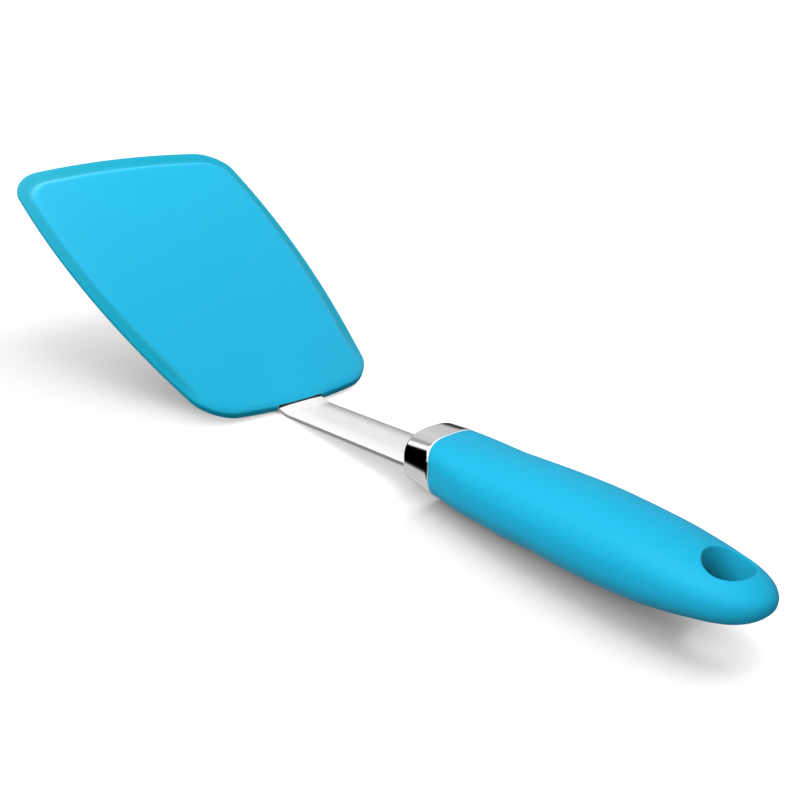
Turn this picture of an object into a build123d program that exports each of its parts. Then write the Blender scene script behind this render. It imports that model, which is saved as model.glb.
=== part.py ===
from build123d import *
from math import cos, radians, sin, tan
import os

# Silicone turner lying at rest: the blade tip is up at -X, the handle end is at +X.
# Z = 0 is the table, Y = 0 is the plane of symmetry, X = 0 is half way along.
# All lengths are in millimetres and all angles in degrees.

# Lie of the blade and the shank against the table
blade_pitch = 25.6
shank_pitch = 5.6

# Blade outline, measured in the blade's own plane
blade_length = 141.3
heel_width = 67.2
tip_width = 93.2
side_bulge = 5.4
tip_crown = 4.4
heel_crown = 3.5
heel_corner_radius = 16.2
tip_corner_radius = 15.4

# Blade section
lip_thickness = 1.4
panel_thickness = 3.0
panel_side_margin = 5.6
panel_tip_margin = 9.4
panel_heel_margin = 1.6
panel_corner_radius = 10.0
panel_slope_run = 1.8
lip_edge_radius = 0.45
panel_edge_radius = 0.6

# Steel core inside the blade
core_thickness = 0.5
core_inset = 3.2
core_heel_inset = 7.0
core_corner_radius = 7.0
core_to_strip_gap = 0.3
key_hole_radius = 3.0
key_hole_pitch_along = 17.0
key_hole_pitch_across_share = 0.48
key_hole_rows = 4
key_hole_columns = 5
key_hole_start = 48.0

# Shank strip
strip_width = 18.0
strip_thickness = 1.7
strip_cover = 1.1
strip_edge_radius = 0.4
bend_inner_radius = 14.6
heel_to_bend = 6.6
neck_length = 69.65
palm_length = 44.0
palm_thickness = 0.8
palm_corner_radius = 6.0

# Rivets through the palm and the core
rivet_radius = 1.5
rivet_head_radius = 2.7
rivet_head_height = 0.3
rivet_pitch = 13.0
rivet_end_distance = 8.0

# Tang inside the handle
tang_length = 72.0
tang_width = 11.0
tang_shoulder_run = 6.0
tang_end_radius = 3.0
tang_hole_radius = 2.5
tang_hole_pitch = 22.0

# Ferrule
ferrule_length = 11.1
ferrule_front_width = 21.8
ferrule_front_height = 16.6
ferrule_rear_width = 22.4
ferrule_rear_height = 18.6
ferrule_wall = 0.7
ferrule_front_wall = 1.0
ferrule_edge_radius = 0.5
slot_clearance = 0.15

# Handle
handle_length = 107.8
handle_width = 27.6
handle_height = 22.8
handle_rise = 5.6
handle_end_radius = 1.5
grip_wall = 2.0
spigot_clearance = 0.1

# Hanging hole
hole_radius = 5.8
hole_rim_radius = 1.0
hole_lining = 1.2
hole_end_distance = 12.4

# Overrun of every cutting tool
overrun = 20.0

# Handle sections: place along the handle, width and height, all as shares of the sizes above
station_shares = [0.0, 0.12, 0.3, 0.5, 0.7, 0.85, 0.94, 0.98, 1.0]
width_shares = [0.80, 0.893, 0.96, 1.0, 0.955, 0.835, 0.64, 0.46, 0.31]
height_shares = [0.82, 0.88, 0.958, 1.0, 0.884, 0.69, 0.51, 0.37, 0.25]
belly_place_share = 0.21
belly_height_share = 0.921
rise_power = 1.3
core_stations = len(station_shares) - 1

# Places worked out from the sizes
strip_mid_radius = bend_inner_radius + strip_thickness / 2
strip_mid_height = panel_thickness - strip_cover - strip_thickness / 2
bend_half_turn = (blade_pitch + shank_pitch) / 2
bend_setback = strip_mid_radius * tan(radians(bend_half_turn))
bend_center_z = strip_mid_radius + strip_thickness / 2
blade_run = heel_to_bend - bend_setback
blade_drop = strip_mid_radius * sin(radians(blade_pitch)) + blade_run * cos(radians(blade_pitch))
heel_mid_z = (
    bend_center_z
    - strip_mid_radius * cos(radians(blade_pitch))
    + blade_run * sin(radians(blade_pitch))
)
neck_start_x = strip_mid_radius * sin(radians(shank_pitch))
neck_start_z = bend_center_z - strip_mid_radius * cos(radians(shank_pitch))
ferrule_front_run = neck_start_x + (neck_length - bend_setback) * cos(radians(shank_pitch))
handle_front_run = ferrule_front_run + ferrule_length
blade_reach = (
    blade_drop
    + strip_mid_height * sin(radians(blade_pitch))
    + (blade_length + tip_crown) * cos(radians(blade_pitch))
)
bend_x = (blade_reach - handle_front_run - handle_length) / 2
heel_x = bend_x - blade_drop
ferrule_front_x = bend_x + ferrule_front_run
handle_front_x = bend_x + handle_front_run
handle_end_x = handle_front_x + handle_length
hole_x = handle_end_x - hole_end_distance
handle_base_z = (
    belly_height_share * handle_height / 2
    - handle_rise * belly_place_share**rise_power
)
ferrule_front_z = handle_base_z
core_mean_half_width = (heel_width + tip_width) / 4 - panel_side_margin - core_inset
key_hole_pitch_across = key_hole_pitch_across_share * core_mean_half_width


def strip_height_at(x):
    """Height of the strip's middle at a place along the neck or the tang."""
    return neck_start_z + (x - bend_x - neck_start_x) * tan(radians(shank_pitch))


def blade_plane(height):
    """Plane along the blade: local X runs to the tip, local Z is up through the blade."""
    lift = height - strip_mid_height
    return Plane(
        origin=(
            heel_x + lift * sin(radians(blade_pitch)),
            0,
            heel_mid_z + lift * cos(radians(blade_pitch)),
        ),
        x_dir=(-cos(radians(blade_pitch)), 0, sin(radians(blade_pitch))),
        z_dir=(sin(radians(blade_pitch)), 0, cos(radians(blade_pitch))),
    )


def blade_face(height, side_inset, tip_inset, heel_inset, heel_radius, tip_radius):
    """Blade-shaped face at a height above the blade's underside, inset from the outline."""
    heel_half = heel_width / 2 - side_inset
    tip_half = tip_width / 2 - side_inset
    heel = heel_inset
    tip = blade_length - tip_inset
    side = ((heel + tip) / 2, (heel_half + tip_half) / 2 + side_bulge)
    with BuildSketch(blade_plane(height)) as face:
        with BuildLine():
            ThreePointArc((heel, -heel_half), (heel - heel_crown, 0), (heel, heel_half))
            ThreePointArc((heel, heel_half), side, (tip, tip_half))
            ThreePointArc((tip, tip_half), (tip + tip_crown, 0), (tip, -tip_half))
            ThreePointArc((tip, -tip_half), (side[0], -side[1]), (heel, -heel_half))
        make_face()
        fillet(face.vertices().group_by(Axis.X)[0], heel_radius)
        fillet(face.vertices().group_by(Axis.X)[-1], tip_radius)
    return face.sketch


def handle_section(place, wall):
    """Oval section across the handle at one station, inside the given wall."""
    share = station_shares[place]
    height = handle_base_z + handle_rise * share**rise_power
    plane = Plane(
        origin=(handle_front_x + handle_length * share, 0, height),
        x_dir=(0, 1, 0),
        z_dir=(1, 0, 0),
    )
    with BuildSketch(plane) as section:
        Ellipse(
            width_shares[place] * handle_width / 2 - wall,
            height_shares[place] * handle_height / 2 - wall,
        )
    return section.sketch


def ferrule_section(run, wall):
    """Oval section across the ferrule, a run back from its front face."""
    share = run / ferrule_length
    width = ferrule_front_width + (ferrule_rear_width - ferrule_front_width) * share
    height = ferrule_front_height + (ferrule_rear_height - ferrule_front_height) * share
    plane = Plane(
        origin=(ferrule_front_x + run, 0, ferrule_front_z),
        x_dir=(0, 1, 0),
        z_dir=(1, 0, 0),
    )
    with BuildSketch(plane) as section:
        Ellipse(width / 2 - wall, height / 2 - wall)
    return section.sketch


def neck_plane(x):
    """Plane on the strip's middle at a place along the neck: local X runs to the handle."""
    return Plane(
        origin=(x, 0, strip_height_at(x)),
        x_dir=(cos(radians(shank_pitch)), 0, sin(radians(shank_pitch))),
        z_dir=(-sin(radians(shank_pitch)), 0, cos(radians(shank_pitch))),
    )


# Shank: a steel strip, bent once behind the blade, with a coined palm and a holed tang
strip_top = strip_mid_height + strip_thickness / 2
strip_bottom = strip_mid_height - strip_thickness / 2
palm_bottom = strip_top - palm_thickness
palm_relief_start = core_heel_inset - heel_crown - core_to_strip_gap
tang_end_x = handle_front_x + tang_length
palm_end = (
    heel_x - palm_length * cos(radians(blade_pitch)),
    heel_mid_z + palm_length * sin(radians(blade_pitch)),
)
bend_start = (
    bend_x - strip_mid_radius * sin(radians(blade_pitch)),
    bend_center_z - strip_mid_radius * cos(radians(blade_pitch)),
)
bend_bottom = (bend_x, strip_thickness / 2)
bend_end = (bend_x + neck_start_x, neck_start_z)
tang_end = (tang_end_x, strip_height_at(tang_end_x))
tang_start_x = ferrule_front_x + tang_shoulder_run
tang_run = (tang_end_x - tang_start_x) / cos(radians(shank_pitch))
rivet_places = [
    (palm_length - rivet_end_distance, 0),
    (palm_length - rivet_end_distance - rivet_pitch, 0),
    (palm_length - rivet_end_distance - 2 * rivet_pitch, 0),
]
with BuildPart() as shank:
    with BuildSketch(Plane.XZ):
        with BuildLine():
            Line(palm_end, bend_start)
            ThreePointArc(bend_start, bend_bottom, bend_end)
            Line(bend_end, tang_end)
        trace(line_width=strip_thickness)
    extrude(amount=strip_width / 2, both=True)
    fillet(shank.edges().group_by(Axis.Y)[0], strip_edge_radius)
    fillet(shank.edges().group_by(Axis.Y)[-1], strip_edge_radius)
    with BuildSketch(blade_plane(palm_bottom)):
        with Locations((palm_relief_start + palm_length / 2, 0)):
            Rectangle(palm_length, strip_width + overrun)
    extrude(amount=-overrun, mode=Mode.SUBTRACT)
    with BuildSketch(blade_plane(strip_top)):
        with Locations((palm_length, 0)):
            Rectangle(2 * palm_corner_radius, strip_width + overrun)
        with Locations((palm_length / 2, 0)):
            RectangleRounded(palm_length, strip_width, palm_corner_radius, mode=Mode.SUBTRACT)
    extrude(amount=overrun, both=True, mode=Mode.SUBTRACT)
    with BuildSketch(neck_plane(tang_start_x)):
        with Locations((tang_run / 2 + tang_end_radius, 0)):
            Rectangle(tang_run + 2 * tang_end_radius, strip_width + overrun)
        with Locations((tang_run / 2 - tang_end_radius, 0)):
            RectangleRounded(
                tang_run + 2 * tang_end_radius, tang_width, tang_end_radius, mode=Mode.SUBTRACT
            )
    extrude(amount=overrun, both=True, mode=Mode.SUBTRACT)
    with BuildSketch(neck_plane(tang_start_x)):
        with Locations((tang_hole_pitch / 2, 0), (3 * tang_hole_pitch / 2, 0)):
            Circle(tang_hole_radius)
    extrude(amount=overrun, both=True, mode=Mode.SUBTRACT)
    with BuildSketch(blade_plane(strip_top)):
        with Locations(*rivet_places):
            Circle(rivet_radius)
    extrude(amount=overrun, both=True, mode=Mode.SUBTRACT)
shank.part.label = "shank"

# Core: thin spring steel plate with key holes for the silicone
core_top = palm_bottom
core_bottom = core_top - core_thickness
core_face = blade_face(
    core_bottom,
    panel_side_margin + core_inset,
    panel_tip_margin + core_inset,
    core_heel_inset,
    core_corner_radius,
    core_corner_radius,
)
with BuildPart() as blade_core:
    add(core_face)
    extrude(amount=core_thickness)
    with BuildSketch(blade_plane(core_bottom)):
        with Locations((key_hole_start + key_hole_rows * key_hole_pitch_along / 2, 0)):
            with GridLocations(
                key_hole_pitch_along, key_hole_pitch_across, key_hole_rows, key_hole_columns
            ):
                Circle(key_hole_radius)
        with Locations(*rivet_places):
            Circle(rivet_radius)
    extrude(amount=overrun, both=True, mode=Mode.SUBTRACT)
blade_core.part.label = "blade_core"

# Rivets: flat-headed, set through the palm and the core
with BuildPart() as core_rivets:
    with BuildSketch(blade_plane(core_bottom)):
        with Locations(*rivet_places):
            Circle(rivet_radius)
    extrude(amount=core_thickness + palm_thickness)
    with BuildSketch(blade_plane(core_bottom)):
        with Locations(*rivet_places):
            Circle(rivet_head_radius)
    extrude(amount=-rivet_head_height)
    with BuildSketch(blade_plane(strip_top)):
        with Locations(*rivet_places):
            Circle(rivet_head_radius)
    extrude(amount=rivet_head_height)
core_rivets.part.label = "core_rivets"

# Blade: thin flexible lip all round, raised panel over the core, slot for the strip at the heel
with BuildPart() as blade_silicone:
    add(blade_face(0, 0, 0, 0, heel_corner_radius, tip_corner_radius))
    extrude(amount=lip_thickness)
    fillet(blade_silicone.faces().sort_by(SortBy.AREA)[-2:].edges(), lip_edge_radius)
    add(
        blade_face(
            lip_thickness / 2,
            panel_side_margin - panel_slope_run,
            panel_tip_margin - panel_slope_run,
            panel_heel_margin - panel_slope_run / 2,
            heel_corner_radius,
            panel_corner_radius + panel_slope_run,
        )
    )
    add(
        blade_face(
            panel_thickness,
            panel_side_margin,
            panel_tip_margin,
            panel_heel_margin,
            heel_corner_radius,
            panel_corner_radius,
        )
    )
    loft()
    panel_top = blade_silicone.faces().sort_by(SortBy.AREA)[-2]
    fillet(panel_top.edges(), panel_edge_radius)
    add(blade_core.part, mode=Mode.SUBTRACT)
    add(core_rivets.part, mode=Mode.SUBTRACT)
    add(shank.part, mode=Mode.SUBTRACT)
blade_silicone.part.label = "blade_silicone"

# Ferrule: drawn steel cap with a slotted front wall
with BuildPart() as ferrule:
    add(ferrule_section(0, 0))
    add(ferrule_section(ferrule_length, 0))
    loft()
    fillet(ferrule.edges().group_by(Axis.X)[0], ferrule_edge_radius)
    add(ferrule_section(ferrule_front_wall, ferrule_wall))
    add(ferrule_section(ferrule_length, ferrule_wall))
    loft(mode=Mode.SUBTRACT)
    with BuildSketch(neck_plane(ferrule_front_x)):
        Rectangle(overrun, strip_width + 2 * slot_clearance)
    extrude(amount=strip_thickness / 2 + slot_clearance, both=True, mode=Mode.SUBTRACT)
ferrule.part.label = "ferrule"

# Handle core: stiff moulded insert round the tang, with a spigot that fills the ferrule
with BuildPart() as handle_core:
    for place in range(core_stations):
        add(handle_section(place, grip_wall))
    loft()
    add(ferrule_section(ferrule_front_wall + spigot_clearance, ferrule_wall + spigot_clearance))
    add(ferrule_section(ferrule_length, ferrule_wall + spigot_clearance))
    loft()
    with Locations((hole_x, 0, 0)):
        Hole(hole_radius + hole_lining)
    add(shank.part, mode=Mode.SUBTRACT)
handle_core.part.label = "handle_core"

# Handle grip: silicone sleeve over the core, closed at the end, that also lines the hanging hole
with BuildPart() as handle_grip:
    for place in range(len(station_shares)):
        add(handle_section(place, 0))
    loft()
    fillet(handle_grip.edges().group_by(Axis.X)[-1], handle_end_radius)
    with BuildSketch():
        with Locations((hole_x, 0)):
            Circle(hole_radius)
    extrude(amount=overrun + handle_height, mode=Mode.SUBTRACT)
    hole_wall = handle_grip.faces().filter_by(GeomType.CYLINDER)
    fillet(hole_wall.edges().filter_by(GeomType.LINE, reverse=True), hole_rim_radius)
    add(handle_core.part, mode=Mode.SUBTRACT)
    add(shank.part, mode=Mode.SUBTRACT)
handle_grip.part.label = "handle_grip"

pieces = [blade_silicone, blade_core, core_rivets, shank, ferrule, handle_core, handle_grip]
os.makedirs("parts", exist_ok=True)
for piece in pieces:
    export_step(piece.part, f"parts/{piece.part.label}.step")
    print(piece.part.label, piece.part.is_valid, len(piece.part.solids()), round(piece.part.volume))
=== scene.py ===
import bmesh
import bpy
from math import atan2, copysign, cos, pi, radians, sin, tan
from mathutils import Matrix, Vector


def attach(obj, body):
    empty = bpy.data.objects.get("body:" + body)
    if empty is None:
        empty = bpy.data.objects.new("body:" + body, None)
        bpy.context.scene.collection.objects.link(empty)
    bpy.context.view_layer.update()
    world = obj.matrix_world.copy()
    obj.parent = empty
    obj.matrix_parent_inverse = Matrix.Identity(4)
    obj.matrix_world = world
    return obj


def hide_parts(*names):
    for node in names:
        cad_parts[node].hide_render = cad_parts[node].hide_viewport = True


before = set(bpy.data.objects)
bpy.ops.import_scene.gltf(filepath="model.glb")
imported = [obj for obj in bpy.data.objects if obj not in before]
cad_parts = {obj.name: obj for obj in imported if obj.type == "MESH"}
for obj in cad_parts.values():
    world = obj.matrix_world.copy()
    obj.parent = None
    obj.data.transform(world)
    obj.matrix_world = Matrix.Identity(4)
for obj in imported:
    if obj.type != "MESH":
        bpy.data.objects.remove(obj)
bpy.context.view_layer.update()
mm = 0.001
weldGap = 0.002 * mm  # vertices closer than this are one
facing = 0.99  # a face looks along an axis when its normal's part along it is more than this
print("frame loaded:", sorted(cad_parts))


# small helpers for modelling by hand

def clearSelection():
    if bpy.context.object and bpy.context.object.mode != "OBJECT":
        bpy.ops.object.mode_set(mode="OBJECT")
    bpy.ops.object.select_all(action="DESELECT")


def openPiece(name):
    # names the new primitive and opens it for editing
    piece = bpy.context.object
    piece.name = name
    piece.data.name = name
    bpy.ops.object.transform_apply(location=True, rotation=True, scale=True)
    bpy.ops.object.mode_set(mode="EDIT")
    return piece


def pick(piece, kind, test):
    # selects the vertices, edges or faces that pass a test on their place or normal
    bpy.ops.mesh.select_mode(type=kind)
    bpy.ops.mesh.select_all(action="DESELECT")
    mesh = bmesh.from_edit_mesh(piece.data)
    mesh.normal_update()
    items = {"VERT": mesh.verts, "EDGE": mesh.edges, "FACE": mesh.faces}[kind]
    for item in items:
        if test(item):
            item.select_set(True)
    mesh.select_flush_mode()
    bmesh.update_edit_mesh(piece.data)


def moveVerts(piece, move, onlySelected=True):
    # moves each vertex to the place that move gives for it
    mesh = bmesh.from_edit_mesh(piece.data)
    for vert in mesh.verts:
        if vert.select or not onlySelected:
            vert.co = move(vert.co)
    mesh.normal_update()
    bmesh.update_edit_mesh(piece.data)


def smoothStep(low, high, value):
    share = min(1.0, max(0.0, (value - low) / (high - low)))
    return share * share * (3 - 2 * share)


def pushOut(step):
    # extrudes what is selected by a step
    bpy.ops.mesh.extrude_region_move(TRANSFORM_OT_translate={"value": tuple(step)})


def roundOff(offset, steps, kind="EDGES"):
    # round bevel of the selected edges or corners
    bpy.ops.mesh.bevel(offset=offset, segments=steps, profile=0.5, affect=kind)


def makeBar(name, centre, size, rounding, steps):
    # a bar along X with rounded long edges, open for editing
    clearSelection()
    bpy.ops.mesh.primitive_cube_add(size=1, location=centre)
    bpy.context.object.scale = size
    bar = openPiece(name)
    pick(bar, "EDGE", lambda e: abs(e.verts[0].co.x - e.verts[1].co.x) > size[0] / 2)
    roundOff(rounding, steps)
    return bar


def closePiece(piece, angle, place=None):
    # leaves edit mode, puts the place into the mesh and smooths edges flatter than the angle
    bpy.ops.mesh.select_all(action="SELECT")
    bpy.ops.mesh.remove_doubles(threshold=weldGap)
    bpy.ops.mesh.normals_make_consistent(inside=False)
    bpy.ops.object.mode_set(mode="OBJECT")
    if place:
        piece.data.transform(place)
    bpy.ops.object.shade_smooth_by_angle(angle=radians(angle))


def cutWith(piece, cutter):
    # takes the cutter's shape out of the piece and deletes the cutter
    clearSelection()
    bpy.context.view_layer.objects.active = piece
    piece.select_set(True)
    cut = piece.modifiers.new("cut", "BOOLEAN")
    cut.operation = "DIFFERENCE"
    cut.solver = "EXACT"
    cut.object = cutter
    bpy.ops.object.modifier_apply(modifier=cut.name)
    bpy.data.objects.remove(cutter)


# blade: thin lip, soft shoulder, flat panel, thick rounded heel
blade = {
    "pitch": radians(25.6),
    "heelX": -30.98 * mm,  # underside at the heel's corners
    "heelZ": 2.104 * mm,
    "length": 142.0 * mm,
    "heelHalf": 33.6 * mm,
    "tipHalf": 46.6 * mm,
    "sideBulge": 5.9 * mm,
    "tipCrown": 4.4 * mm,
    "heelCrown": 3.5 * mm,
    "tipCorner": 12.0 * mm,  # corner cut, measured along the edges
    "heelCorner": 10.2 * mm,
    "cornerSteps": 20,
    "edgeCuts": 47,
    "manyCorners": 8,  # only the flat top and bottom have more
    "underEdge": 0.18 * mm,
    "roundSteps": 4,
    "underInset": 1.2 * mm,
    "wallTop": 0.95 * mm,
    "heelWallTop": 1.35 * mm,
    "heelZone": (2.0 * mm, 26.0 * mm),  # from the heel's loops to the side's
    "tipZone": (100.0 * mm, 132.0 * mm),  # from the side's loops to the tip's
    # loops from the edge inwards, in mm: inset and height at the side,
    # inset and height at the heel, inset at the tip
    "loops": [
        (0.10, 1.16, 0.04, 1.66, 0.10),
        (0.30, 1.30, 0.10, 1.96, 0.30),
        (0.60, 1.36, 0.18, 2.22, 0.60),
        (2.50, 1.44, 0.30, 2.42, 4.60),
        (3.05, 1.56, 0.54, 2.53, 6.80),
        (3.40, 1.76, 0.86, 2.64, 7.60),
        (3.70, 2.04, 1.24, 2.745, 8.20),
        (4.00, 2.36, 1.66, 2.83, 8.80),
        (4.35, 2.62, 2.14, 2.895, 9.40),
        (4.80, 2.84, 2.70, 2.945, 10.0),
        (5.35, 2.95, 3.34, 2.975, 10.7),
        (6.10, 3.00, 4.10, 2.99, 11.6),
        (7.20, 3.00, 5.10, 3.00, 13.0),
    ],
    "slotWidth": 18.3 * mm,
    "slotLow": 0.15 * mm,
    "slotHigh": 2.45 * mm,
    "slotDepth": 9.0 * mm,
    "slotRounding": 0.45 * mm,
    "slotOverrun": 6.0 * mm,  # the cutter stands out of the heel by this
    "smoothAngle": 50,
}
bladePlace = Matrix(
    (
        (-cos(blade["pitch"]), 0, sin(blade["pitch"]), blade["heelX"]),
        (0, -1, 0, 0),
        (sin(blade["pitch"]), 0, cos(blade["pitch"]), blade["heelZ"]),
        (0, 0, 0, 1),
    )
)


def bladeOutline(co):
    # bulges the straight sides and crowns both ends
    along = co.x / blade["length"]
    half = blade["heelHalf"] + (blade["tipHalf"] - blade["heelHalf"]) * along
    across = min(1.0, abs(co.y) / half)
    bulge = blade["sideBulge"] * 4 * along * (1 - along)
    crown = blade["tipCrown"] * along - blade["heelCrown"] * (1 - along)
    return Vector((co.x + crown * (1 - across * across), co.y * (half + bulge) / half, co.z))


def heelShare(co):
    return 1 - smoothStep(*blade["heelZone"], co.x)


def tipShare(co):
    return smoothStep(*blade["tipZone"], co.x)


def makeBlade():
    clearSelection()
    bpy.ops.mesh.primitive_plane_add(size=1, location=(0.5 * blade["length"], 0, 0))
    bpy.context.object.scale = (blade["length"], 2 * blade["heelHalf"], 1)
    skin = openPiece("blade_skin")
    middle = blade["length"] / 2
    pick(skin, "VERT", lambda v: v.co.x > middle)
    bpy.ops.transform.resize(value=(1, blade["tipHalf"] / blade["heelHalf"], 1))
    roundOff(blade["tipCorner"], blade["cornerSteps"], "VERTICES")
    pick(skin, "VERT", lambda v: v.co.x < middle and abs(v.co.y) > blade["heelHalf"] / 2)
    roundOff(blade["heelCorner"], blade["cornerSteps"], "VERTICES")
    pick(skin, "EDGE", lambda e: e.calc_length() > blade["heelCorner"])
    bpy.ops.mesh.subdivide(number_cuts=blade["edgeCuts"])
    moveVerts(skin, bladeOutline, onlySelected=False)

    # slab with a rounded under edge
    pick(skin, "FACE", lambda f: True)
    pushOut((0, 0, blade["wallTop"]))
    bpy.ops.mesh.select_all(action="SELECT")
    bpy.ops.mesh.normals_make_consistent(inside=False)
    pick(skin, "FACE", lambda f: f.normal.z < -facing)
    roundOff(blade["underEdge"], blade["roundSteps"])
    pick(skin, "FACE", lambda f: f.normal.z < -facing and len(f.verts) > blade["manyCorners"])
    bpy.ops.mesh.inset(thickness=blade["underInset"], depth=0)

    # the top rises in loops, each with its own inset at the side, the heel and the tip
    pick(skin, "FACE", lambda f: f.normal.z > facing and len(f.verts) > blade["manyCorners"])
    lift = blade["heelWallTop"] - blade["wallTop"]
    moveVerts(skin, lambda co: co + Vector((0, 0, lift * heelShare(co))))
    before = (0.0, blade["wallTop"] / mm, 0.0, blade["heelWallTop"] / mm, 0.0)
    for loop in blade["loops"]:
        step = [(new - old) * mm for new, old in zip(loop, before)]
        bpy.ops.mesh.inset(thickness=step[0], depth=0)

        def settle(co):
            heel = heelShare(co)
            tip = tipShare(co)
            back = (step[0] - step[2]) * heel + (step[4] - step[0]) * tip
            rise = step[1] + (step[3] - step[1]) * heel
            return co + Vector((-back, 0, rise))

        moveVerts(skin, settle)
        before = loop
    closePiece(skin, blade["smoothAngle"])

    # slot for the strip
    depth = blade["slotDepth"] + blade["heelCrown"] + blade["slotOverrun"]
    low, high = blade["slotLow"], blade["slotHigh"]
    centre = (blade["slotDepth"] - depth / 2, 0, (low + high) / 2)
    size = (depth, blade["slotWidth"], high - low)
    cutWith(skin, makeBar("slot_cutter", centre, size, blade["slotRounding"], blade["roundSteps"]))
    skin.data.transform(bladePlace)
    bpy.ops.object.shade_smooth_by_angle(angle=radians(blade["smoothAngle"]))
    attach(skin, "root")
    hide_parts("blade_silicone")
    return skin


bladeSkin = makeBlade()
print("blade modelled:", len(bladeSkin.data.polygons), "faces")


# strip: neck, bend, palm inside the blade, tang inside the handle
strip = {
    "pitch": radians(5.6),
    "bendEndX": -20.914 * mm,  # middle of the strip where the bend ends
    "bendEndZ": 0.924 * mm,
    "bendRadius": 15.45 * mm,
    "bendTurn": radians(31.2),
    "width": 18.0 * mm,
    "thickness": 1.7 * mm,
    "neckRun": 71.36 * mm,
    "bladeRun": 5.5 * mm,
    "palmThickness": 0.8 * mm,
    "palmRun": 40.8 * mm,
    "tangWidth": 11.0 * mm,
    "tangRun": 77.4 * mm,
    "stepInset": 0.05 * mm,  # where the palm and the tang step in
    "edgeRounding": 0.2 * mm,
    "edgeSteps": 5,
    "bendSteps": 24,
    "rows": 9,  # lengthwise rows of faces on each half
    "crownStart": 3.0 * mm,  # the top falls away from here to both sides
    "crownDrop": 0.46 * mm,
    "crownRise": 0.1 * mm,
    "smoothAngle": 40,
    "sideNormal": 0.8,  # faces that look sideways more than this are the cut edge, whose steel is painted darker as shade
    # painted shade: a dark line where the strip goes into the blade, for the shadow in the slot;
    # depths from the heel in mm
    "entryShadeColour": "24282a",
    "entryShadeStart": (-0.28, -0.05),
    "entryShadeEnd": (1.2, 1.6, 1.0, 0.0),
}


def crownStrip(co):
    # the upper half of the section drops towards both edges
    if co.z < 0:
        return co
    start = strip["crownStart"]
    run = max(0.0, abs(co.y) - start) / (strip["width"] / 2 - start)
    drop = strip["crownDrop"] * run * run - strip["crownRise"]
    return co - Vector((0, 0, drop * 2 * co.z / strip["thickness"]))


def makeStrip():
    # neck with a top that falls away a little to both sides
    half = strip["width"] / 2
    size = (strip["neckRun"], strip["width"], strip["thickness"])
    rounding, rows = strip["edgeRounding"], strip["rows"]
    body = makeBar("neck_strip", (size[0] / 2, 0, 0), size, rounding, strip["edgeSteps"])
    for count in range(1 - rows, rows):
        bpy.ops.mesh.select_all(action="SELECT")
        bpy.ops.mesh.bisect(plane_co=(0, count * half / rows, 0), plane_no=(0, 1, 0))
    moveVerts(body, crownStrip, onlySelected=False)

    # bend, then the run into the blade
    pick(body, "FACE", lambda f: f.normal.x < -facing)
    turn = strip["bendTurn"]
    bpy.ops.mesh.spin(
        steps=strip["bendSteps"], angle=turn, center=(0, 0, strip["bendRadius"]), axis=(0, -1, 0)
    )
    ahead = Vector((-cos(turn), 0, sin(turn)))
    up = Vector((sin(turn), 0, cos(turn)))
    pushOut(ahead * strip["bladeRun"])

    # palm: thinner, flush with the top
    bpy.ops.mesh.inset(thickness=strip["stepInset"], depth=0)
    thin = strip["thickness"] / 2
    share = strip["palmThickness"] / strip["thickness"]
    mesh = bmesh.from_edit_mesh(body.data)
    ends = [v.co.copy() for v in mesh.verts if v.select]
    centre = sum(ends, Vector()) / len(ends)
    moveVerts(body, lambda co: co - up * ((co - centre).dot(up) - thin) * (1 - share))
    pushOut(ahead * strip["palmRun"])

    # tang: narrower, in line with the neck
    pick(body, "FACE", lambda f: f.normal.x > facing)
    bpy.ops.mesh.inset(thickness=strip["stepInset"], depth=0)
    bpy.ops.transform.resize(value=(1, strip["tangWidth"] / strip["width"], 1))
    pushOut((strip["tangRun"], 0, 0))
    lie = Matrix.Translation((strip["bendEndX"], 0, strip["bendEndZ"]))
    closePiece(body, strip["smoothAngle"], lie @ Matrix.Rotation(-strip["pitch"], 4, "Y"))
    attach(body, "root")
    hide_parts("shank")
    return body


neckStrip = makeStrip()
print("strip modelled:", len(neckStrip.data.polygons), "faces")


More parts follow.
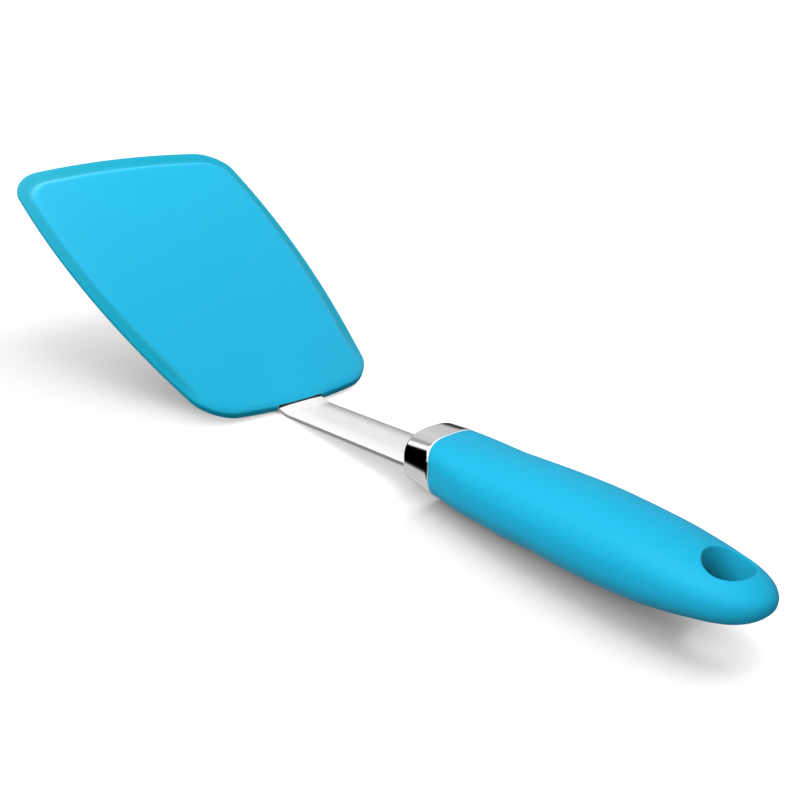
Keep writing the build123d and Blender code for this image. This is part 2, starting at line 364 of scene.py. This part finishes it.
# handle and ferrule: oval rings drawn out along X
grip = {
    "frontX": 55.21 * mm,
    "length": 108.2 * mm,
    "baseZ": 9.763 * mm,
    "rise": 5.6 * mm,
    "risePower": 1.3,
    "halfWidth": 13.83 * mm,
    "halfHeight": 11.37 * mm,
    # place along the handle, half width and half height as shares of the largest
    "stations": [
        (0.00, 0.800, 0.806),
        (0.12, 0.893, 0.856),
        (0.30, 0.960, 0.960),
        (0.50, 1.000, 1.000),
        (0.70, 0.953, 0.887),
        (0.80, 0.893, 0.765),
        (0.87, 0.862, 0.699),
        (1.00, 0.858, 0.696),
    ],
    "capStart": 0.72,
    "capPower": 3.03,
    # power of the oval, its fall towards the end, and what the front has more
    "square": 2.3,
    "squareFall": 0.2,
    "frontSquare": 0.9,
    "frontZone": (0.0, 0.22),
    # the underside hangs lower than the top rises, behind the front and towards the end
    "underFull": 0.085,
    "underSquare": 0.3,
    "endZone": (0.3, 0.8),
    "bellyShare": 0.8,
    "bellyStart": (0.02, 0.14),
    "bellyEnd": (0.24, 0.42),
    # the joint with the ferrule bows forward at the top, by this times height squared
    "bow": 24,
    "bowZone": (0.0, 0.25),
    "frontEdge": 0.4 * mm,
    "frontInset": 2.2 * mm,
    "edgeRings": [(1.0, 0.0), (0.6, 0.08), (0.3, 0.3), (0.08, 0.6)],  # inset and run
    "ringVerts": 96,
    "rings": 59,
    "ringStep": 0.012,
    "capRings": 44,
    "joinGap": (0.715, 0.723),  # no ring here, where the cap's rings take over
    "endInset": 0.15 * mm,
    "holeX": 150.608 * mm,
    "holeVerts": 96,
    "holeHeight": 60.0 * mm,
    "holeTolerance": 0.03 * mm,
    "holeNormal": 0.2,  # faces that look up or down less than this are the cut's wall
    # edge of the hanging hole: radius and depth below the skin, in mm
    "rim": [(6.6, 0), (6.5, 0.04), (6.42, 0.14), (6.36, 0.32), (6.22, 1.3), (6.0, 3.0), (5.8, 5.0)],
    "smoothAngle": 55,
}
startRadius = 10.0 * mm  # of the circle that a ring starts as
startRun = 0.1 * mm  # that a ring is drawn out by before it is put in place


def curveThrough(points, column, place):
    # smooth cubic through the stations of a table
    last = len(points) - 2
    at = min(last, max(0, sum(1 for p in points if p[0] <= place) - 1))
    left, right = points[at], points[at + 1]
    run = right[0] - left[0]

    def slope(index):
        low, high = points[max(0, index - 1)], points[min(len(points) - 1, index + 1)]
        return (high[column] - low[column]) / (high[0] - low[0])

    t = (place - left[0]) / run
    first = (2 * t**3 - 3 * t**2 + 1) * left[column] + (t**3 - 2 * t**2 + t) * run * slope(at)
    second = (3 * t**2 - 2 * t**3) * right[column] + (t**3 - t**2) * run * slope(at + 1)
    return first + second


def gripSection(place):
    # section of the handle at a place from 0 to 1: half width, half height, centre height,
    # power of the oval, and how many times deeper than high it is
    cap = 1.0
    if place > grip["capStart"]:
        share = (place - grip["capStart"]) / (1 - grip["capStart"])
        cap = max(0.0, 1 - share ** grip["capPower"]) ** 0.5
    half = grip["halfWidth"] * curveThrough(grip["stations"], 1, place) * cap
    tall = grip["halfHeight"] * curveThrough(grip["stations"], 2, place) * cap
    centre = grip["baseZ"] + grip["rise"] * place ** grip["risePower"]
    front = 1 - smoothStep(*grip["frontZone"], place)
    power = grip["square"] - grip["squareFall"] * place + grip["frontSquare"] * front
    belly = smoothStep(*grip["bellyStart"], place) * (1 - smoothStep(*grip["bellyEnd"], place))
    full = max(smoothStep(*grip["endZone"], place), grip["bellyShare"] * belly)
    return half, tall, centre, power, 1 + grip["underFull"] * full


def underPower(power, under):
    # the fuller the underside, the squarer
    return power + grip["underSquare"] * (under - 1) / grip["underFull"]


def setRing(piece, half, tall, centre, power, x, under, bow):
    # puts the selected ring on an oval section, each vertex at its own turn, none below the table
    mesh = bmesh.from_edit_mesh(piece.data)
    turnLayer = mesh.verts.layers.float["turn"]
    for vert in mesh.verts:
        if vert.select:
            turn = vert[turnLayer]
            c, s = cos(turn), sin(turn)
            square = underPower(power, under) if s < 0 else power
            deep = tall * under if s < 0 else tall
            rise = deep * copysign(abs(s) ** (2 / square), s)
            side = half * copysign(abs(c) ** (2 / square), c)
            vert.co = Vector((x - bow * max(0.0, rise) ** 2, side, max(0.0, centre + rise)))
    bmesh.update_edit_mesh(piece.data)


def startRing(name, x, verts):
    # a ring of vertices round the X axis, with each vertex's turn kept on the mesh
    clearSelection()
    bpy.ops.mesh.primitive_circle_add(
        vertices=verts, radius=startRadius, location=(x, 0, 0), rotation=(0, pi / 2, 0)
    )
    piece = openPiece(name)
    mesh = bmesh.from_edit_mesh(piece.data)
    turnLayer = mesh.verts.layers.float.new("turn")
    for vert in mesh.verts:
        vert[turnLayer] = atan2(vert.co.z, vert.co.y)
    bmesh.update_edit_mesh(piece.data)
    bpy.ops.mesh.select_mode(type="VERT")
    bpy.ops.mesh.select_all(action="SELECT")
    return piece


def drawOut(piece, rings):
    # extrudes the open ring through a row of sections
    for index, ring in enumerate(rings):
        if index:
            pushOut((startRun, 0, 0))
        setRing(piece, *ring)


def gripRings():
    front, length, edge = grip["frontX"], grip["length"], grip["frontEdge"]
    half, tall, centre, power, under = gripSection(0)
    turned = [(grip["frontInset"], 0.0)]
    turned += [(inset * edge, run * edge) for inset, run in grip["edgeRings"]]
    rings = []
    for inset, run in turned:
        rings.append((half - inset, tall - inset, centre, power, front + run, under, grip["bow"]))
    capLength, capRings = 1 - grip["capStart"], grip["capRings"]
    places = [edge / length + i * grip["ringStep"] for i in range(grip["rings"])]
    places += [1 - capLength * (1 - i / capRings) ** 2 for i in range(1, capRings)]
    low, high = grip["joinGap"]
    for place in sorted(p for p in places if p < low or p > high):
        half, tall, centre, power, under = gripSection(place)
        bow = grip["bow"] * (1 - smoothStep(*grip["bowZone"], place))
        rings.append((half, tall, centre, power, front + place * length, under, bow))
    return rings


def surfaceHeight(x, y, side):
    # height of the handle's skin above or below its middle line at a plan position
    half, tall, centre, power, under = gripSection((x - grip["frontX"]) / grip["length"])
    share = min(1.0, abs(y) / half)
    if side < 0:
        tall = tall * under
        power = underPower(power, under)
    return centre + side * tall * (1 - share**power) ** (1 / power)


def fromHole(co):
    # the way from the hanging hole's axis
    return Vector((co.x - grip["holeX"], co.y, 0))


def rimPoint(co, side, radius, depth):
    # a point of the hole's edge at a radius and a depth below the skin around it
    away = fromHole(co).normalized()
    x, y = grip["holeX"] + away.x * radius, away.y * radius
    return Vector((x, y, surfaceHeight(x, y, side) - side * depth))


def makeGrip():
    skin = startRing("grip_skin", grip["frontX"], grip["ringVerts"])
    drawOut(skin, gripRings())
    bpy.ops.mesh.edge_face_add()
    bpy.ops.mesh.inset(thickness=grip["endInset"], depth=0)
    bpy.ops.mesh.merge(type="COLLAPSE")
    pick(skin, "EDGE", lambda e: e.is_boundary)
    bpy.ops.mesh.edge_face_add()
    closePiece(skin, grip["smoothAngle"])

    # hanging hole, cut to the rim's outer circle first, then its plain wall is taken out
    clearSelection()
    outer, near = grip["rim"][0][0] * mm, grip["holeTolerance"]
    bpy.ops.mesh.primitive_cylinder_add(
        vertices=grip["holeVerts"],
        radius=outer,
        depth=grip["holeHeight"],
        location=(grip["holeX"], 0, grip["baseZ"]),
    )
    cutter = openPiece("hole_cutter")
    bpy.ops.object.mode_set(mode="OBJECT")
    cutWith(skin, cutter)
    bpy.ops.object.mode_set(mode="EDIT")

    def onCut(vert):
        return abs(fromHole(vert.co).length - outer) < near

    pick(skin, "FACE", lambda f: abs(f.normal.z) < grip["holeNormal"] and all(map(onCut, f.verts)))
    bpy.ops.mesh.delete(type="FACE")
    pick(skin, "VERT", onCut)
    bpy.ops.mesh.remove_doubles(threshold=2 * near)

    # rolled rim above and below
    middle = surfaceHeight(grip["holeX"], 0, 0)
    for side in (1, -1):
        pick(skin, "EDGE", lambda e: e.is_boundary and (e.verts[0].co.z - middle) * side > 0)
        for radius, depth in grip["rim"][1:]:
            pushOut((0, 0, 0))
            moveVerts(skin, lambda co: rimPoint(co, side, radius * mm, depth * mm))
    pick(skin, "EDGE", lambda e: e.is_boundary)
    bpy.ops.mesh.bridge_edge_loops()
    closePiece(skin, grip["smoothAngle"])
    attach(skin, "root")
    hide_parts("handle_grip")
    return skin


gripSkin = makeGrip()
print("handle modelled:", len(gripSkin.data.polygons), "faces")


ferrule = {
    "frontX": 44.11 * mm,
    "length": 11.1 * mm,
    "centreZ": 9.763 * mm,
    "frontHalf": (11.3 * mm, 8.3 * mm),
    "rearHalf": (11.2 * mm, 9.25 * mm),
    "frontPower": 2.7,
    "rearPower": 3.2,
    "frontBow": 0.4,  # share of the joint's bow
    # rings in mm: run from the front and inset
    "frontRings": [
        (0, 1.4), (0, 0.6), (0.05, 0.38), (0.18, 0.18), (0.38, 0.05), (0.62, 0), (0.9, 0)
    ],
    "bodyStep": 1.1,
    "bodyRings": 9,
    "rearRings": [
        (10.4, 0), (10.6, 0.01), (10.75, 0.06), (10.87, 0.15), (10.96, 0.28), (11.0, 0.42),
        (11.0, 0.9),
    ],
    "insideRings": [(10.9, 0.7), (1.2, 0.7), (1.0, 0.9), (1.0, 1.6)],
    "ringVerts": 128,
    "slotWidth": 18.3 * mm,
    "slotHeight": 2.0 * mm,
    "slotDepth": 6.0 * mm,
    "slotRounding": 0.5 * mm,
    "roundSteps": 4,
    "smoothAngle": 35,
}


def ferruleRing(run, inset):
    # the section goes evenly from the front's to the rear's
    share = run / ferrule["length"]
    front, rear = ferrule["frontHalf"], ferrule["rearHalf"]
    half = front[0] + (rear[0] - front[0]) * share - inset
    tall = front[1] + (rear[1] - front[1]) * share - inset
    power = ferrule["frontPower"] + (ferrule["rearPower"] - ferrule["frontPower"]) * share
    bow = grip["bow"] * (ferrule["frontBow"] + (1 - ferrule["frontBow"]) * share)
    return half, tall, ferrule["centreZ"], power, ferrule["frontX"] + run, 1.0, bow


def makeFerrule():
    frontX, step = ferrule["frontX"], ferrule["bodyStep"]
    collar = startRing("ferrule_cap", frontX, ferrule["ringVerts"])
    body = [(step + i * step, 0) for i in range(ferrule["bodyRings"])]
    runs = ferrule["frontRings"] + body + ferrule["rearRings"] + ferrule["insideRings"]
    drawOut(collar, [ferruleRing(run * mm, inset * mm) for run, inset in runs])

    # the front ring and the innermost one are closed
    between = frontX + ferrule["insideRings"][-1][0] / 2 * mm
    pick(collar, "EDGE", lambda e: e.is_boundary and e.verts[0].co.x < between)
    bpy.ops.mesh.edge_face_add()
    pick(collar, "EDGE", lambda e: e.is_boundary)
    bpy.ops.mesh.edge_face_add()
    closePiece(collar, ferrule["smoothAngle"])

    # slot for the strip, in line with its neck
    slope = strip["pitch"]
    size = (ferrule["slotDepth"], ferrule["slotWidth"], ferrule["slotHeight"])
    rounding, steps = ferrule["slotRounding"], ferrule["roundSteps"]
    cutter = makeBar("slot_cutter", (frontX, 0, 0), size, rounding, steps)
    bpy.ops.object.mode_set(mode="OBJECT")
    height = strip["bendEndZ"] + (frontX - strip["bendEndX"]) * tan(slope)
    cutter.data.transform(
        Matrix.Translation((frontX, 0, height))
        @ Matrix.Rotation(-slope, 4, "Y")
        @ Matrix.Translation((-frontX, 0, 0))
    )
    cutWith(collar, cutter)
    bpy.ops.object.shade_smooth_by_angle(angle=radians(ferrule["smoothAngle"]))
    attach(collar, "root")
    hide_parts("ferrule")
    return collar


ferruleCap = makeFerrule()
print("ferrule modelled:", len(ferruleCap.data.polygons), "faces")


# shader maths and helpers for materials

class Wire:
    # one output socket, so that shader maths reads as plain expressions
    def __init__(self, tree, socket=None):
        self.tree = tree
        self.socket = socket

    def node(self, kind, settings=None, sockets=None, output=0):
        # any node: settings first, then the values or links of its sockets
        made = self.tree.nodes.new(kind)
        for name, value in (settings or {}).items():
            setattr(made, name, value)
        for name, value in (sockets or {}).items():
            if isinstance(value, Wire):
                self.tree.links.new(value.socket, made.inputs[name])
            else:
                made.inputs[name].default_value = value
        return Wire(self.tree, made.outputs[output]) if made.outputs else made

    def other(self, name):
        # another output of the same node
        return Wire(self.tree, self.socket.node.outputs[name])

    def maths(self, operation, first, second):
        return self.node("ShaderNodeMath", {"operation": operation}, {0: first, 1: second})

    def __add__(self, other):
        return self.maths("ADD", self, other)

    def __radd__(self, other):
        return self.maths("ADD", other, self)

    def __sub__(self, other):
        return self.maths("SUBTRACT", self, other)

    def __rsub__(self, other):
        return self.maths("SUBTRACT", other, self)

    def __mul__(self, other):
        return self.maths("MULTIPLY", self, other)

    def __rmul__(self, other):
        return self.maths("MULTIPLY", other, self)


def linear(code):
    # colour written as six hex digits, in the linear values that nodes take
    parts = [int(code[i : i + 2], 16) / 255 for i in (0, 2, 4)]
    values = [p / 12.92 if p <= 0.04045 else ((p + 0.055) / 1.055) ** 2.4 for p in parts]
    return (*values, 1.0)


def newMaterial(name):
    material = bpy.data.materials.new(name)
    material.use_nodes = True
    material.node_tree.nodes.clear()
    return material, Wire(material.node_tree)


def finishMaterial(material, wire, sockets):
    # principled surface with the given sockets
    shader = wire.node("ShaderNodeBsdfPrincipled", None, sockets)
    wire.node("ShaderNodeOutputMaterial", None, {"Surface": shader})
    return material


def objectPlace(wire):
    return wire.node("ShaderNodeTexCoord").other("Object")


def noise(wire, place, scale, detail):
    return wire.node(
        "ShaderNodeTexNoise", None, {"Vector": place, "Scale": scale, "Detail": detail}
    )


def blend(wire, share, first, second):
    # mix of two colours: input 0 is the Mix node's factor, 6 and 7 its colours, output 2 its result
    sockets = {0: share, 6: first, 7: second}
    return wire.node("ShaderNodeMix", {"data_type": "RGBA"}, sockets, output=2)


def ramp(wire, value, low, high, first=0.0, second=1.0):
    # smooth step of a value, from first at low to second at high
    return wire.node(
        "ShaderNodeMapRange",
        {"interpolation_type": "SMOOTHSTEP"},
        {"Value": value, "From Min": low, "From Max": high, "To Min": first, "To Max": second},
    )


def alongAxis(wire, place, axis):
    # how far a place lies along an axis
    return wire.node(
        "ShaderNodeVectorMath", {"operation": "DOT_PRODUCT"}, {0: place, 1: axis}, output=1
    )


def bumped(wire, height, strength, depth):
    return wire.node(
        "ShaderNodeBump", None, {"Strength": strength, "Distance": depth, "Height": height}
    )


# finishes: colours, roughness from low by span, and the scale and strength of the grain
silicone = {
    "colour": "25c6f3",
    "deep": "23c2ef",
    "mottle": 38.0,
    "rough": 0.44,
    "span": 0.08,
    "roughScale": 140.0,
    "grain": 2600.0,
    "bump": 0.12,
    "bumpDepth": 0.05 * mm,
    "specular": 0.08,
    "bounce": "3c3c3c",  # what the floor sees, so that its shadow stays grey
    # painted shade on the blade's thin lip and the foot of its margin slope: its colour, and the
    # heights in mm where it starts and ends
    "lip": "0fb0d0",
    "lipStart": (0.1, 0.5),
    "lipEnd": (1.5, 2.6, 1.0, 0.0),
}
plastic = {
    "colour": "d8d8d4",
    "deep": "c4c4c0",
    "grain": 220.0,
    "rough": 0.45,
    "span": 0.2,
    "bump": 0.2,
    "bumpDepth": 0.05 * mm,
}
steels = {
    "satin steel": {
        "colours": ("f5f5f4", "fbfbfa"),
        "rough": 0.24,
        "span": 0.04,
        "stretch": (30, 700, 700),
        "bump": 0.02,
    },
    # the strip's cut side faces: a rougher finish, with a darker colour that is painted shade
    "cut steel edge painted darker": {
        "colours": ("a9a9a6", "9c9c99"),
        "rough": 0.42,
        "span": 0.1,
        "stretch": (60, 900, 900),
        "bump": 0.05,
    },
    "polished steel": {
        "colours": ("c2c2c2", "c8c8c8"),
        "rough": 0.08,
        "span": 0.02,
        "stretch": (30, 160, 160),
        "bump": 0.0,
    },
    "spring steel": {
        "colours": ("b9bcc0", "d4d6d8"),
        "rough": 0.3,
        "span": 0.1,
        "stretch": (80, 1500, 1500),
        "bump": 0.1,
    },
    "rivet steel": {
        "colours": ("c9c9c9", "e0e0e0"),
        "rough": 0.35,
        "span": 0.1,
        "stretch": (900, 900, 900),
        "bump": 0.1,
    },
}
steelBumpDepth = 0.02 * mm


def siliconeMaterial(name, withLipShade):
    material, wire = newMaterial(name)
    place = objectPlace(wire)
    clouds = noise(wire, place, silicone["mottle"], 4.0)
    colour = blend(wire, clouds, linear(silicone["colour"]), linear(silicone["deep"]))
    if withLipShade:
        # painted shade: the thin lip is drawn darker by its height above the underside, read along
        # the blade's own normal
        slope = blade["pitch"]
        height = alongAxis(wire, place, (sin(slope), 0, cos(slope)))
        ground = blade["heelX"] * sin(slope) + blade["heelZ"] * cos(slope)
        level = (height - ground) * (1 / mm)
        low = ramp(wire, level, *silicone["lipEnd"]) * ramp(wire, level, *silicone["lipStart"])
        colour = blend(wire, low, colour, linear(silicone["lip"]))
    diffuse = wire.node("ShaderNodeLightPath").other("Is Diffuse Ray")
    colour = blend(wire, diffuse, colour, linear(silicone["bounce"]))
    rough = noise(wire, place, silicone["roughScale"], 5.0) * silicone["span"] + silicone["rough"]
    grain = noise(wire, place, silicone["grain"], 2.0)
    sockets = {
        "Base Color": colour,
        "Roughness": rough,
        "Normal": bumped(wire, grain, silicone["bump"], silicone["bumpDepth"]),
        "Specular IOR Level": silicone["specular"],
    }
    return finishMaterial(material, wire, sockets)


def steelMaterial(name, withEntryShade=False):
    # metal with fine lines drawn out along X
    finish = steels[name]
    material, wire = newMaterial(name)
    place = objectPlace(wire)
    drawn = wire.node("ShaderNodeMapping", None, {"Vector": place, "Scale": finish["stretch"]})
    lines = noise(wire, drawn, 1.0, 4.0)
    first, second = finish["colours"]
    tone = blend(wire, lines, linear(first), linear(second))
    if withEntryShade:
        # painted shade: a dark line where the strip goes into the blade, measured along the blade
        # from its heel
        slope = blade["pitch"]
        along = alongAxis(wire, place, (-cos(slope), 0, sin(slope)))
        heel = blade["heelZ"] * sin(slope) - blade["heelX"] * cos(slope) - blade["heelCrown"]
        depth = (along - heel) * (1 / mm)
        inside = ramp(wire, depth, *strip["entryShadeStart"]) * ramp(wire, depth, *strip["entryShadeEnd"])
        tone = blend(wire, inside, tone, linear(strip["entryShadeColour"]))
    sockets = {
        "Base Color": tone,
        "Metallic": 1.0,
        "Roughness": lines * finish["span"] + finish["rough"],
        "Normal": bumped(wire, lines, finish["bump"], steelBumpDepth),
    }
    return finishMaterial(material, wire, sockets)


def plasticMaterial(name):
    material, wire = newMaterial(name)
    clouds = noise(wire, objectPlace(wire), plastic["grain"], 4.0)
    sockets = {
        "Base Color": blend(wire, clouds, linear(plastic["colour"]), linear(plastic["deep"])),
        "Roughness": clouds * plastic["span"] + plastic["rough"],
        "Normal": bumped(wire, clouds, plastic["bump"], plastic["bumpDepth"]),
    }
    return finishMaterial(material, wire, sockets)


def giveMaterial(piece, material):
    piece.data.materials.clear()
    piece.data.materials.append(material)


giveMaterial(bladeSkin, siliconeMaterial("blade silicone", True))
giveMaterial(gripSkin, siliconeMaterial("handle silicone", False))
giveMaterial(neckStrip, steelMaterial("satin steel", True))
# the side faces take the second steel, painted darker as shade
neckStrip.data.materials.append(steelMaterial("cut steel edge painted darker"))
for face in neckStrip.data.polygons:
    if abs(face.normal.y) > strip["sideNormal"]:
        face.material_index = 1
giveMaterial(ferruleCap, steelMaterial("polished steel"))
giveMaterial(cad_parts["blade_core"], steelMaterial("spring steel"))
giveMaterial(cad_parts["core_rivets"], steelMaterial("rivet steel"))
giveMaterial(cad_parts["handle_core"], plasticMaterial("handle core plastic"))
print("materials made")


# floor: white paper; metal sees it dark, with one white band along the near side of the object
paper = {
    "size": 14.0,
    "colours": ("fbfbfb", "fdfdfd"),
    "scale": 3.0,
    "bounce": 0.16,  # its tone to diffuse rays: how much light comes back from below
    # across the object, in metres: where that band starts and ends
    "nearEdge": (-0.0252, -0.0228),
    "farEdge": (-0.011, -0.005, 1.0, 0.1),
    "glow": 0.97,
    "white": 1.3,
    "fadeOut": (0.3, 0.8, 0.08, 1.0),  # the shadow ends in plain white away from the object
}


def makeFloor():
    clearSelection()
    bpy.ops.mesh.primitive_plane_add(size=paper["size"], location=(0, 0, 0))
    floor = bpy.context.object
    floor.name = "floor"
    material, wire = newMaterial("paper floor")
    path = wire.node("ShaderNodeLightPath")
    place = objectPlace(wire)
    first, second = paper["colours"]
    tone = blend(wire, noise(wire, place, paper["scale"], 3.0), linear(first), linear(second))
    dim = (paper["bounce"],) * 3 + (1,)
    tone = blend(wire, path.other("Is Diffuse Ray"), tone, dim)
    matte = wire.node("ShaderNodeBsdfDiffuse", None, {"Color": tone})
    white = wire.node("ShaderNodeEmission", None, {"Strength": paper["white"]})
    away = wire.node("ShaderNodeVectorMath", {"operation": "LENGTH"}, {0: place}, output=1)
    share = path.other("Is Camera Ray") * ramp(wire, away, *paper["fadeOut"])
    seen = wire.node("ShaderNodeMixShader", None, {0: share, 1: matte, 2: white})

    # what glossy rays see
    across = wire.node("ShaderNodeSeparateXYZ", None, {"Vector": place}).other("Y")
    shown = ramp(wire, across, *paper["nearEdge"]) * ramp(wire, across, *paper["farEdge"])
    glow = wire.node("ShaderNodeEmission", None, {"Strength": shown * paper["glow"]})
    glossy = path.other("Is Glossy Ray")
    surface = wire.node("ShaderNodeMixShader", None, {0: glossy, 1: seen, 2: glow})
    wire.node("ShaderNodeOutputMaterial", None, {"Surface": surface})
    giveMaterial(floor, material)
    return floor


# world: even light, and for metal a white sky behind, a dark one low in front and a softbox above
# that; a row is low, high, value at low and value at high of a part of the ray's direction
sky = {
    "ambient": 0.27,
    "horizonHeight": (0.08, 0.24, 0.05, 1.0),
    "overheadHeight": (0.35, 0.7, 1.0, 0.9),
    "horizonAlong": (-0.725, -0.69),  # the dark horizon shows in the strip alone
    "behindNear": (-0.04, 0.12, 0.66, 1.12),
    "behindFar": (0.40, 0.74, 1.0, 0.72),
    "frontAcross": (-0.32, -0.14, 1.9, 0.66),
    "frontHeight": (0.33, 0.43),
    "isFront": (-0.16, -0.02, 1.0, 0.0),
    "endAlong": (0.1, 0.35, 0.0, 1.2),
}


def makeWorld():
    world = bpy.data.worlds.new("studio")
    bpy.context.scene.world = world
    world.use_nodes = True
    world.node_tree.nodes.clear()
    wire = Wire(world.node_tree)
    path = wire.node("ShaderNodeLightPath")
    direction = wire.node("ShaderNodeTexCoord").other("Generated")
    along = wire.node("ShaderNodeSeparateXYZ", None, {"Vector": direction})
    across, up = along.other("Y"), along.other("Z")
    horizon = ramp(wire, up, *sky["horizonHeight"]) * ramp(wire, up, *sky["overheadHeight"])
    horizon = horizon + (1 - horizon) * ramp(wire, along, *sky["horizonAlong"])
    behind = ramp(wire, across, *sky["behindNear"]) * ramp(wire, across, *sky["behindFar"])
    front = ramp(wire, across, *sky["frontAcross"]) * ramp(wire, up, *sky["frontHeight"])
    isFront = ramp(wire, across, *sky["isFront"])
    seen = horizon * behind * (1 - isFront) + front * isFront
    seen = seen + ramp(wire, along, *sky["endAlong"])
    shine = wire.node("ShaderNodeBackground", None, {"Color": (1, 1, 1, 1), "Strength": seen})
    even = {"Color": (1, 1, 1, 1), "Strength": sky["ambient"]}
    fill = wire.node("ShaderNodeBackground", None, even)
    white = wire.node("ShaderNodeBackground", None, {"Color": (1, 1, 1, 1), "Strength": 1.0})
    glossy, camera = path.other("Is Glossy Ray"), path.other("Is Camera Ray")
    lit = wire.node("ShaderNodeMixShader", None, {0: glossy, 1: fill, 2: shine})
    surface = wire.node("ShaderNodeMixShader", None, {0: camera, 1: lit, 2: white})
    wire.node("ShaderNodeOutputWorld", None, {"Surface": surface})


def linked(name, pieces):
    group = bpy.data.collections.new(name)
    for piece in pieces:
        group.objects.link(piece)
    return group


def addLamp(name, lit, place, power, size, shadedBy=None, inGloss=True):
    # a square lamp that faces the object and lights only the pieces given
    clearSelection()
    bpy.ops.object.light_add(type="AREA", location=place)
    lamp = bpy.context.object
    lamp.name = name
    lamp.data.energy = power
    lamp.data.size = size
    lamp.rotation_mode = "QUATERNION"
    lamp.rotation_quaternion = (lampAim - Vector(place)).to_track_quat("-Z", "Y")
    lamp.light_linking.receiver_collection = linked(name + " lights", lit)
    if shadedBy:
        lamp.light_linking.blocker_collection = linked(name + " shadows", shadedBy)
    lamp.visible_glossy = inGloss


floor = makeFloor()
makeWorld()
lampAim = Vector((0, 0, 0.02))
lamps = [
    # on the floor alone, for its white and the soft shadows
    {
        "name": "floor light",
        "lit": [floor],
        "place": (0, 0, 1.4),
        "power": 272.0,
        "size": 14.0,
        "inGloss": False,
    },
    {
        "name": "high side light",
        "lit": [floor],
        "place": (0.10, 0.27, 0.64),
        "power": 3.0,
        "size": 0.6,
        "shadedBy": [gripSkin, ferruleCap],
        "inGloss": False,
    },
    {
        "name": "low side light",
        "lit": [floor],
        "place": (-0.05, 0.60, 0.28),
        "power": 2.2,
        "size": 0.3,
        "shadedBy": [bladeSkin, gripSkin],
        "inGloss": False,
    },
    # from the camera's left, above the handle and the blade
    {
        "name": "handle softbox",
        "lit": [gripSkin],
        "place": (-0.02, -0.54, 0.76),
        "power": 6.9,
        "size": 0.7,
    },
    {
        "name": "blade softbox",
        "lit": [bladeSkin],
        "place": (-0.02, -0.54, 0.76),
        "power": 4.4,
        "size": 0.7,
    },
    # small ones for the blade's tip, its far shoulder, its heel and the handle's low end
    {
        "name": "tip softbox",
        "lit": [bladeSkin],
        "place": (-0.30, -0.06, 0.26),
        "power": 0.56,
        "size": 0.25,
    },
    {
        "name": "rim softbox",
        "lit": [bladeSkin],
        "place": (-0.10, 0.52, 0.34),
        "power": 0.95,
        "size": 0.4,
    },
    {
        "name": "heel softbox",
        "lit": [bladeSkin],
        "place": (0.33, -0.16, 0.10),
        "power": 0.06,
        "size": 0.2,
    },
    {
        "name": "end softbox",
        "lit": [gripSkin],
        "place": (0.42, -0.30, 0.10),
        "power": 0.28,
        "size": 0.3,
    },
]
for lamp in lamps:
    addLamp(**lamp)

# the metal shows the sky and the floor, not the silicone or what is inside it
hidden = [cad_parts[name] for name in ("blade_core", "core_rivets", "handle_core")]
for piece in [bladeSkin, gripSkin] + hidden:
    piece.visible_glossy = False

# camera, by its place and its axes
view = {
    "place": (0.276576, -0.199649, 0.154907),
    "right": (0.627550, 0.778502, 0.010786),
    "up": (-0.309789, 0.236963, 0.920804),
    "back": (0.714291, -0.581192, 0.389877),
    "lens": 50.163,
    "shiftX": -0.00687,
    "shiftY": 0.00476,
    "sensor": 36.0,
    "clipStart": 0.01,
}
bpy.ops.object.camera_add(location=view["place"])
camera = bpy.context.object
axes = Matrix((view["right"], view["up"], view["back"])).transposed()
camera.rotation_mode = "QUATERNION"
camera.rotation_quaternion = axes.to_quaternion()
camera.data.sensor_width = view["sensor"]
camera.data.lens = view["lens"]
camera.data.shift_x = view["shiftX"]
camera.data.shift_y = view["shiftY"]
camera.data.clip_start = view["clipStart"]
bpy.context.scene.camera = camera
bpy.context.scene.view_settings.view_transform = "Standard"
print("studio set")
